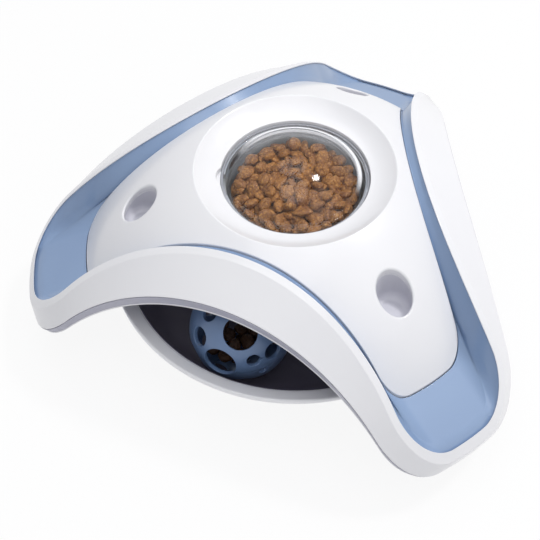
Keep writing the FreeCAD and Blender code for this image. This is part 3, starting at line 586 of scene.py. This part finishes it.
def fillSheet(bm, outer, holes, spacing, height):
    # Even triangles between an outer loop and round holes given as (centre, radius, loop)
    points = [Vector(p) for p in outer]
    edges = [(i, (i + 1) % len(outer)) for i in range(len(outer))]
    for centre, radius, loop in holes:
        first = len(points)
        points += [Vector(p) for p in loop]
        edges += [(first + i, first + (i + 1) % len(loop)) for i in range(len(loop))]
    shrunk = [Vector(p) * (1 - 1.2 * spacing / Vector(p).length * 0.6) for p in outer]
    loop = [(p.x, p.y) for p in shrunk]
    reach = max(p.length for p in points)
    row = 0
    y = -reach
    while y < reach:
        x = -reach + (spacing / 2 if row % 2 else 0.0)
        while x < reach:
            clear = all(math.hypot(x - c[0], y - c[1]) > r + spacing * 0.6 for c, r, ring in holes)
            if clear and insideLoop(x, y, loop):
                points.append(Vector((x, y)))
            x += spacing
        y += spacing * math.sqrt(0.75)
        row += 1
    found, lines, faces = delaunay_2d_cdt(points, edges, [], 1, 1e-6)[:3]
    verts = [bm.verts.new(Vector((p.x, p.y, height(p.x, p.y))) * mm) for p in found]
    for face in faces:
        middle = sum((found[i] for i in face), Vector((0.0, 0.0))) / len(face)
        if all(math.hypot(middle.x - c[0], middle.y - c[1]) > r for c, r, ring in holes):
            bm.faces.new([verts[i] for i in face])


def makeCover():
    v = coverValues
    bm = bmesh.new()
    start = outline(grown(coverEdge, -v["edgeReach"]))
    edge = outline(coverEdge)
    rows = []
    for (ax, ay), (bx, by) in zip(start, edge):
        under = Vector((bx, by, coverUnder(math.hypot(bx, by)) + 0.05))
        rows.append(filleted([onCover(ax, ay), onCover(bx, by), under], (0.0, v["edgeRounding"], 0.0),
                             False, 6))
    addRows(bm, rows, True, False)
    dishStart = v["dishRadius"] + v["dishReach"]
    rimZ, mouthZ = domeZ("cover", v["dishRadius"]), dishZ - v["mouthDrop"]
    neckZ, scoopZ = mouthZ - v["neckHeight"], mouthZ - v["notchDepth"]
    scoopPlace = v["mouthRadius"] + v["notchReach"] - v["notchRadius"]

    def dish(turn):
        # The section there, from the cap's edge over the dish to the neck, scooped at the notch
        away = turn - math.radians(v["notchAngle"])
        room = v["notchRadius"] ** 2 - (scoopPlace * math.sin(away)) ** 2
        edge = v["mouthRadius"]
        if room > 0 and math.cos(away) > 0:
            edge = max(edge, scoopPlace * math.cos(away) + math.sqrt(room))
        section = [(dishStart, domeZ("cover", dishStart)), (v["dishRadius"], rimZ)]
        for k in range(1, 13):
            r = v["dishRadius"] + (edge - v["dishRadius"]) * k / 12
            s = (v["dishRadius"] - r) / (v["dishRadius"] - v["mouthRadius"])
            section.append((r, rimZ + (mouthZ - rimZ) * s - v["dishHollow"] * 4 * s * (1 - s)))
        return section + [(edge, scoopZ), (v["mouthRadius"], scoopZ), (v["mouthRadius"], neckZ),
                          (v["mouthRadius"] + 2.0, neckZ)]

    revolved(bm, dish, [0.0, 1.6] + [0.0] * 11 + [0.5, 0.3, 0.0, 0.2, 0.0], v["segments"], False)
    holes = [((0.0, 0.0), dishStart, ringPlan(dishStart, v["segments"]))]
    for lobe in lobeAngles:
        centre = (v["holePlace"] * math.cos(lobe), v["holePlace"] * math.sin(lobe))
        outer = ringPlan(v["holeRadius"] + v["holeReach"], v["holeSegments"], centre)
        inner = ringPlan(v["holeRadius"], v["holeSegments"], centre)
        holes.append((centre, v["holeRadius"] + v["holeReach"], outer))
        rows = []
        for (ax, ay), (bx, by) in zip(outer, inner):
            low = onCover(bx, by, v["holeDepth"])
            rows.append(filleted([onCover(ax, ay), onCover(bx, by), low], (0.0, v["holeRounding"], 0.0),
                                 False, 8))
        addRows(bm, rows, True, False)
    fillSheet(bm, start, holes, v["spacing"], coverHeight)
    return makePiece("topCover", bm, whitePlastic, "canopy", ["top_cover"], crisp=60)


makeCover()

print("bowl")

bowlValues = {"rimRadius": 98.0, "landWidth": 7.0, "landFall": 3.3, "landWall": 2.8, "lip": 3.2,
              "lipWall": 2.4, "floor": 34.8, "cornerRadius": 30.0, "lean": 1.75, "wall": 2.6,
              "earReach": 5.5, "earHeight": 3.0, "earHalf": 3.5, "bossRadius": 3.6, "bossPlace": 50.0,
              "segments": 256}
bowlSide = bowlValues["rimRadius"] - bowlValues["landWidth"] - bowlValues["lean"]


def arcChain(cx, cz, radius, start, end, count):
    return [(cx + radius * math.cos(math.radians(start + (end - start) * i / count)),
             cz + radius * math.sin(math.radians(start + (end - start) * i / count)))
            for i in range(count + 1)]


def makeBowl():
    v = bowlValues
    cornerZ = top("bowl")
    floorZ = cornerZ - v["cornerRadius"]
    place = bowlSide - v["cornerRadius"]
    inside = arcChain(place, cornerZ, v["cornerRadius"], -90, 0, 24)
    outside = arcChain(place, cornerZ, v["cornerRadius"] + v["wall"], 0, -90, 24)
    profile = [(0.05, floorZ)] + inside + outside + [(0.05, floorZ - v["wall"])]
    radii = [0.0] * len(inside) + [0.0, 0.4, 0.4] + [0.0] * len(outside)
    bm = bmesh.new()
    revolved(bm, profile, radii, v["segments"], False)
    for lobe in lobeAngles:
        turn = lobe + halfPitch
        centre = (v["bossPlace"] * math.cos(turn), v["bossPlace"] * math.sin(turn))
        boss = [(0.05, floorZ - 1.0), (v["bossRadius"], floorZ - 1.0), (v["bossRadius"], foot("bowl")),
                (0.05, foot("bowl"))]
        revolved(bm, boss, [0.0, 0.0, 0.3, 0.0], 40, False, centre)
    return makePiece("bowlShell", bm, bowlDark, "base", ["bowl"])


def makeBowlRim():
    v = bowlValues
    rimZ, seatLow = top("bowl_rim"), foot("bowl_rim")
    landIn, lipIn = v["rimRadius"] - v["landWidth"], v["rimRadius"] - v["lipWall"]
    lipZ = rimZ - v["lip"]
    profile = [(bowlSide, seatLow), (landIn, rimZ - v["landFall"]), (v["rimRadius"], rimZ),
               (v["rimRadius"], lipZ), (lipIn, lipZ), (lipIn, rimZ - v["landWall"]),
               (bowlSide + v["wall"], seatLow)]
    bm = bmesh.new()
    revolved(bm, profile, [0.3, 0.5, 1.2, 0.5, 0.3, 0.2, 0.3], v["segments"], True)
    for lobe in lobeAngles:
        rows = []
        for k in range(9):
            turn = lobe + math.radians(v["earHalf"]) * (k - 4) / 4
            way = Vector((math.cos(turn), math.sin(turn), 0.0))
            inner = v["rimRadius"] - v["lipWall"] / 2
            outer = v["rimRadius"] + v["earReach"] - 0.5 * (abs(k - 4) / 4) ** 6
            corners = [way * r + Vector((0, 0, z)) for r, z in (
                (inner, lipZ), (outer, lipZ), (outer, lipZ + v["earHeight"]), (inner, lipZ + v["earHeight"]))]
            rows.append(filleted(corners, (0.0, 0.5, 0.5, 0.0), True, 3))
        grid = addRows(bm, rows, False, True)
        bm.faces.new(grid[0])
        bm.faces.new(reversed(grid[-1]))
    return makePiece("bowlRim", bm, bowlPaintedLightWhite, "base", ["bowl_rim"])


makeBowl()
makeBowlRim()

print("treat ball")

ballValues = {"radius": 26.5, "wall": 2.0, "track": 58.0, "angle": -94.5, "rounding": 0.5,
              "detail": 6, "seam": 0.18, "lipBack": 0.03,       # angle that the lip runs back inside
              "holes": [(-63.5, 51, 8.5), (-89, 10, 8.5), (-124, 26, 5.0), (-50, 17, 3.5), (-40, -5, 2.3),
                        (-25, 18, 4.6), (-137, 54, 4.3), (12, 42, 6.0), (30, 4, 8.5), (70, 30, 8.0),
                        (78, -8, 4.0), (112, 0, 8.0), (150, 26, 8.5), (158, -14, 5.0), (-165, -4, 4.0),
                        (-132, -14, 7.5), (-60, -36, 7.5), (0, -28, 6.0), (50, -38, 7.5), (118, -44, 8.0),
                        (-160, -45, 5.5), (-110, -52, 4.0), (60, 68, 5.0), (160, 68, 6.0)]}


def ballCentre():
    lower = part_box("ball_lower_half")[0]
    turn = math.radians(ballValues["angle"])
    track = ballValues["track"]
    return Vector((track * math.cos(turn), track * math.sin(turn), lower.z / mm + ballValues["radius"]))


def makeBall():
    # A fine sphere with its faces near each hole taken out, the edge left there drawn onto the
    # hole's circle, and rows from it round the hole's lip to the inside
    v = ballValues
    outer, inner = v["radius"], v["radius"] - v["wall"]
    bm = bmesh.new()
    bmesh.ops.create_icosphere(bm, subdivisions=v["detail"], radius=1.0)
    holes = []
    for turn, rise, radius in v["holes"]:
        a, e = math.radians(turn), math.radians(rise)
        way = Vector((math.cos(a) * math.cos(e), math.sin(a) * math.cos(e), math.sin(e)))
        holes.append((way, math.asin(radius / outer), math.asin((radius + v["rounding"] * 1.2) / outer)))
    gone = []
    for face in bm.faces:
        if any(p.co.angle(way) < wide for p in face.verts for way, narrow, wide in holes):
            gone.append(face)
    bmesh.ops.delete(bm, geom=gone, context="FACES")
    loops = [e for e in bm.edges if len(e.link_faces) == 1]
    rimVerts = {p for e in loops for p in e.verts}
    nearest = {p: min(holes, key=lambda h: p.co.angle(h[0]) - h[2]) for p in rimVerts}
    for p, (way, narrow, wide) in nearest.items():
        across = (p.co - way * p.co.dot(way)).normalized()
        p.co = way * math.cos(wide) + across * math.sin(wide)
    for p in bm.verts:
        p.co = p.co * outer
    edgeLoop = [(e.verts[0], e.verts[1]) for e in loops]
    steps = 5
    depth = {}
    for p, (way, narrow, wide) in nearest.items():
        across = (p.co - way * p.co.dot(way)).normalized()
        lipTop = way * math.cos(narrow) * outer + across * math.sin(narrow) * outer
        reach = math.sin(narrow) * outer
        lipLow = way * math.sqrt(inner ** 2 - reach ** 2) + across * reach
        turned = narrow + v["lipBack"]
        back = way * math.cos(turned) * inner + across * math.sin(turned) * inner
        chain = filleted([p.co.copy(), lipTop, lipLow, back], (0.0, v["rounding"], 0.3, 0.0),
                         False, steps)
        depth[p] = [bm.verts.new(q) for q in chain[1:]]
    for a, b in edgeLoop:
        chainA, chainB = [a] + depth[a], [b] + depth[b]
        for k in range(len(chainA) - 1):
            bm.faces.new((chainA[k], chainB[k], chainB[k + 1], chainA[k + 1]))
    centre = ballCentre()
    pieces = []
    for name, node, side in (("ballUpperHalf", "ball_upper_half", 1),
                             ("ballLowerHalf", "ball_lower_half", -1)):
        half = bm.copy()
        geometry = half.verts[:] + half.edges[:] + half.faces[:]
        bmesh.ops.bisect_plane(half, geom=geometry, plane_co=(0, 0, side * v["seam"] / 2),
                               plane_no=(0, 0, side), clear_inner=True)
        for p in half.verts:
            p.co = (p.co + centre) * mm
        pieces.append(makePiece(name, half, ballPlastic, "ball", [node], crisp=50))
    bm.free()
    return pieces


makeBall()

print("clear lid")

lidValues = {"flangeRadius": 36.9, "flangeDrop": 6.9, "flangeThickness": 1.7, "domeRadius": 32.0,
             "domeHeight": 15.0, "wall": 1.8, "spigot": 34.8, "spigotWall": 1.2, "spigotDepth": 7.2,
             "segments": 200, "lugTurn": 35.0, "lugAngle": 16.0, "lugOut": 36.5, "lugHeight": 1.7, "lugDrop": 13.1}


def capChain(radius, edgeZ, crownZ, count):
    height = crownZ - edgeZ
    sphere = (radius ** 2 + height ** 2) / (2 * height)
    chain = []
    for i in range(count):
        r = radius * (1 - i / count)
        chain.append((r, crownZ - sphere + math.sqrt(sphere ** 2 - r ** 2)))
    return chain


def makeLid():
    v = lidValues
    flangeTop = dishZ - v["flangeDrop"]
    flangeFoot = flangeTop - v["flangeThickness"]
    crown = flangeTop + v["domeHeight"]
    outerCap = capChain(v["domeRadius"], flangeTop, crown, 28)
    innerCap = capChain(v["domeRadius"] - v["wall"], flangeFoot, crown - v["wall"], 28)
    spigotZ = flangeFoot - v["spigotDepth"]
    profile = outerCap + [(0.05, crown), (0.05, crown - v["wall"])] + list(reversed(innerCap))
    bore = v["spigot"] - v["spigotWall"]
    profile += [(bore, flangeFoot), (bore, spigotZ), (v["spigot"], spigotZ), (v["spigot"], flangeFoot),
                (v["flangeRadius"], flangeFoot), (v["flangeRadius"], flangeTop)]
    radii = [1.6] + [0.0] * (len(outerCap) + 1) + [0.0] * (len(innerCap) - 1)
    radii += [0.6, 0.5, 0.4, 0.4, 0.3, 0.5, 0.5]
    bm = bmesh.new()
    revolved(bm, profile, radii, v["segments"], True)
    lugTop = dishZ - v["lugDrop"]
    for lobe in lobeAngles:
        rows = []
        for k in range(9):
            turn = lobe - math.radians(v["lugTurn"] + v["lugAngle"] / 2 * (k - 4) / 4)
            way = Vector((math.cos(turn), math.sin(turn), 0.0))
            lugFoot = lugTop - v["lugHeight"]
            corners = [way * (v["spigot"] - 0.3) + Vector((0, 0, z)) for z in (lugFoot, lugTop)]
            corners += [way * v["lugOut"] + Vector((0, 0, z)) for z in (lugTop, lugFoot)]
            rows.append(filleted(corners, (0.0, 0.0, 0.4, 0.4), True, 3))
        grid = addRows(bm, rows, False, True)
        bm.faces.new(grid[0])
        bm.faces.new(reversed(grid[-1]))
    return makePiece("domeLid", bm, clearLid, "lid", ["dome_lid"], crisp=45)


makeLid()

print("kibble")

kibbleValues = {"seed": 7, "size": (4.4, 3.4, 2.1), "spread": 0.22, "edgeDrop": 13.6,
                "crestDrop": 11.6, "radius": 33.2,
                "layers": ((84, 6.4, 6.0), (76, 6.8, 3.5), (36, 8.2, 1.3)),      # count, gap, depth
                "tubeRadius": 18.5}


def kibblePiece(bm, centre, rng, size, flatness=0.5):
    # One baked piece: a squashed lump with a shallow dimple and an uneven outline
    made = bmesh.ops.create_icosphere(bm, subdivisions=4, radius=1.0)["verts"]
    spread = kibbleValues["spread"]
    scale = Vector([s * rng.uniform(1 - spread, 1 + spread * 0.7) for s in size])
    tilt = Matrix.Rotation(rng.uniform(-flatness, flatness) * 1.6, 3, "X")
    tilt = tilt @ Matrix.Rotation(rng.uniform(-flatness, flatness) * 1.6, 3, "Y")
    turn = tilt @ Matrix.Rotation(rng.uniform(0, 2 * math.pi), 3, "Z")
    shift = Vector([rng.uniform(-50, 50) for k in range(3)])
    for vert in made:
        p = vert.co.copy()
        bulge = 1 + 0.13 * noise.noise(p * 1.3 + shift) + 0.05 * noise.noise(p * 4.2 + shift)
        bulge += 0.018 * noise.noise(p * 11.0 + shift)
        dimple = 0.20 * math.exp(-(p.x ** 2 + p.y ** 2) / 0.18) * (1 if p.z > 0 else 0.4)
        q = Vector((p.x, p.y, p.z * (1 - dimple))) * bulge
        q = Vector((q.x * scale.x, q.y * scale.y, q.z * scale.z))
        vert.co = (turn @ q + centre) * mm


def settle(spots, radius, gap, rounds=60):
    # Pushes plan spots apart inside a circle until they lie evenly
    for k in range(rounds):
        for i, a in enumerate(spots):
            for b in spots[i + 1:]:
                apart = b - a
                distance = apart.length or 0.01
                if distance < gap:
                    push = apart / distance * (gap - distance) * 0.5
                    a -= push
                    b += push
        for p in spots:
            if p.length > radius:
                p *= radius / p.length
    return spots


def heapHeight(r):
    v = kibbleValues
    edge, crest = dishZ - v["edgeDrop"], dishZ - v["crestDrop"]
    return edge + (crest - edge) * (1 - (r / v["radius"]) ** 2)


def makeKibble():
    v = kibbleValues
    rng = random.Random(v["seed"])
    bm = bmesh.new()
    for layer, (count, gap, drop) in enumerate(v["layers"]):
        limit = v["radius"] - 4.4 - layer * 0.6
        spots = []
        for k in range(count):
            r, turn = limit * math.sqrt(rng.random()), rng.uniform(0, 2 * math.pi)
            spots.append(Vector((r * math.cos(turn), r * math.sin(turn))))
        for spot in settle(spots, limit, gap):
            r = spot.length
            z = heapHeight(r) - drop + rng.uniform(-0.7, 0.7)
            kibblePiece(bm, Vector((spot.x, spot.y, z)), rng, v["size"])
    outletZ = foot("kibble_fill")
    for k in range(24):
        turn, r = rng.uniform(0, 2 * math.pi), v["tubeRadius"] * 0.74 * math.sqrt(rng.uniform(0.2, 1))
        spot = Vector((r * math.cos(turn), r * math.sin(turn), outletZ + rng.uniform(2.4, 5.5)))
        kibblePiece(bm, spot, rng, v["size"])
    heap = makePiece("kibbleHeap", bm, kibbleSkin, "canopy", ["kibble_fill"], crisp=80)
    # A dark solid core below the top pieces, painted shadow that shows in the gaps between them
    core = bmesh.new()
    inner = v["radius"] - 0.8
    crown = [(r, heapHeight(r) - 7.0) for r in (inner, inner * 0.75, inner * 0.5, inner * 0.25, 0.05)]
    low = outletZ + 2.5
    tube = v["tubeRadius"] - 0.8
    profile = [(0.05, low), (tube, low), (tube, dishZ - 53), (inner, dishZ - 30.5)]
    revolved(core, profile + crown, [0.0, 2.0, 1.0, 1.0, 1.0, 0, 0, 0, 0], 96, True)
    makePiece("kibbleShadowCore", core, kibbleShadowCore, "canopy", [])
    return heap


def makeBallKibble():
    v = kibbleValues
    rng = random.Random(v["seed"] + 1)
    bm = bmesh.new()
    centre = ballCentre()
    for drop, count in ((16.5, 6), (12.5, 13)):
        limit = math.sqrt(19.3 ** 2 - drop ** 2)
        spots = [Vector((limit * math.sqrt(rng.random()), 0.0)) for k in range(count)]
        for spot in spots:
            turn = rng.uniform(0, 2 * math.pi)
            spot.x, spot.y = spot.x * math.cos(turn), spot.x * math.sin(turn)
        for spot in settle(spots, limit, 7.4):
            kibblePiece(bm, centre + Vector((spot.x, spot.y, rng.uniform(-0.4, 0.4) - drop)), rng,
                        (4.0, 3.4, 2.4), 0.3)
    # The pieces in the ball take the darker crust, which is painted shade
    return makePiece("ballKibble", bm, kibbleShaded, "ball", ["ball_kibble"], crisp=80)


makeKibble()
makeBallKibble()

print("finishes of the carried-over pieces")

carried = {"canopy_underside": greyPaintedShadePlastic, "hopper": hopperPlastic, "lid_seal": sealRubber,
           "snack_cup_back": cupPaintedShadePlastic, "snack_cup_left": cupPaintedShadePlastic, "snack_cup_right": cupPaintedShadePlastic,
           "feed_cone": greyPaintedShadePlastic, "base_cover": whitePlastic, "base_weight": screwSteel,
           "foot_pads": footRubber, "cover_screws": screwSteel, "hopper_screws": screwSteel,
           "base_screws": screwSteel, "feed_cone_screw": screwSteel}

for name, material in carried.items():
    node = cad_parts[name]
    if not node.material_slots:
        node.data.materials.append(material)
    for slot in node.material_slots:
        slot.material = material

print("floor and light")

stageValues = {"size": 3.0, "colour": (0.90, 0.90, 0.905), "shade": 0.9,
               "world": (0.95, 0.96, 1.0), "worldStrength": 0.42}
# Lamps by the way their light comes from: turn and height in degrees, distance, size, watts
lamps = [("key", 40.4, 61.0, 1.5, 0.22, 8.5, (1.0, 0.99, 0.97)),
         ("backSoft", 122.0, 67.0, 1.5, 0.9, 3.6, (0.97, 0.98, 1.0)),
         ("rightSoft", -10.0, 40.0, 1.6, 1.3, 3.2, (1.0, 1.0, 1.0)),
         ("topSoft", -75.0, 76.0, 1.5, 1.1, 5.2, (1.0, 1.0, 1.0))]


whiteRays = ("Is Camera Ray", "Is Glossy Ray", "Is Transmission Ray")     # that show the background


def makeFloor():
    # Pale floor. To the camera it is white where it is lit, and it keeps the toy's shadow.
    half = stageValues["size"] / 2
    bm = bmesh.new()
    corners = [(-half, -half), (half, -half), (half, half), (-half, half)]
    bm.faces.new([bm.verts.new((x, y, 0.0)) for x, y in corners])
    mesh = bpy.data.meshes.new("floor")
    bm.to_mesh(mesh)
    bm.free()
    floor = bpy.data.objects.new("floor", mesh)
    bpy.context.scene.collection.objects.link(floor)
    shader = Shader("paleFloor")
    cloud = shader.noise(3.0, 2.0)
    colour = shader.mix(cloud, plain(stageValues["colour"]), plain((0.915, 0.915, 0.92)))
    base = shader.node("ShaderNodeBsdfPrincipled", {}, {
        "Base Color": colour, "Roughness": 0.9, "Specular IOR Level": 0.1}, "BSDF")
    white = shader.node("ShaderNodeEmission", {}, {"Color": (1.0, 1.0, 1.0, 1.0), "Strength": 1.0})
    seen = [shader.node("ShaderNodeLightPath", {}, {}, kind) for kind in whiteRays]
    mesh.materials.append(shader.finish(shader.node("ShaderNodeMixShader", {}, {
        0: (seen[0] + seen[1] + seen[2]) * stageValues["shade"], 1: base, 2: white})))


def makeLamps():
    for name, turn, height, distance, size, power, colour in lamps:
        turn, height = math.radians(turn), math.radians(height)
        way = Vector((math.cos(turn) * math.cos(height), math.sin(turn) * math.cos(height), math.sin(height)))
        data = bpy.data.lights.new(name, "AREA")
        data.shape, data.size = "DISK", size
        data.energy, data.color = power, colour
        lamp = bpy.data.objects.new(name, data)
        lamp.location = Vector((0.0, 0.0, dishZ * mm)) + way * distance
        lamp.rotation_mode = "QUATERNION"
        lamp.rotation_quaternion = way.to_track_quat("Z", "Y")
        bpy.context.scene.collection.objects.link(lamp)


def makeWorld():
    world = bpy.data.worlds.new("studio")
    world.use_nodes = True
    tree = world.node_tree
    tree.nodes.clear()
    path = tree.nodes.new("ShaderNodeLightPath")
    lit = tree.nodes.new("ShaderNodeBackground")
    lit.inputs["Color"].default_value = plain(stageValues["world"])
    lit.inputs["Strength"].default_value = stageValues["worldStrength"]
    white = tree.nodes.new("ShaderNodeBackground")
    white.inputs["Color"].default_value = (1.0, 1.0, 1.0, 1.0)
    mixed = tree.nodes.new("ShaderNodeMixShader")
    output = tree.nodes.new("ShaderNodeOutputWorld")
    seen = path.outputs[whiteRays[0]]
    for kind in whiteRays[1:]:
        both = tree.nodes.new("ShaderNodeMath")
        both.operation = "MAXIMUM"
        tree.links.new(seen, both.inputs[0])
        tree.links.new(path.outputs[kind], both.inputs[1])
        seen = both.outputs[0]
    tree.links.new(seen, mixed.inputs[0])
    tree.links.new(lit.outputs[0], mixed.inputs[1])
    tree.links.new(white.outputs[0], mixed.inputs[2])
    tree.links.new(mixed.outputs[0], output.inputs["Surface"])
    bpy.context.scene.world = world


makeFloor()
makeWorld()
makeLamps()
bpy.context.scene.view_settings.view_transform = "Standard"
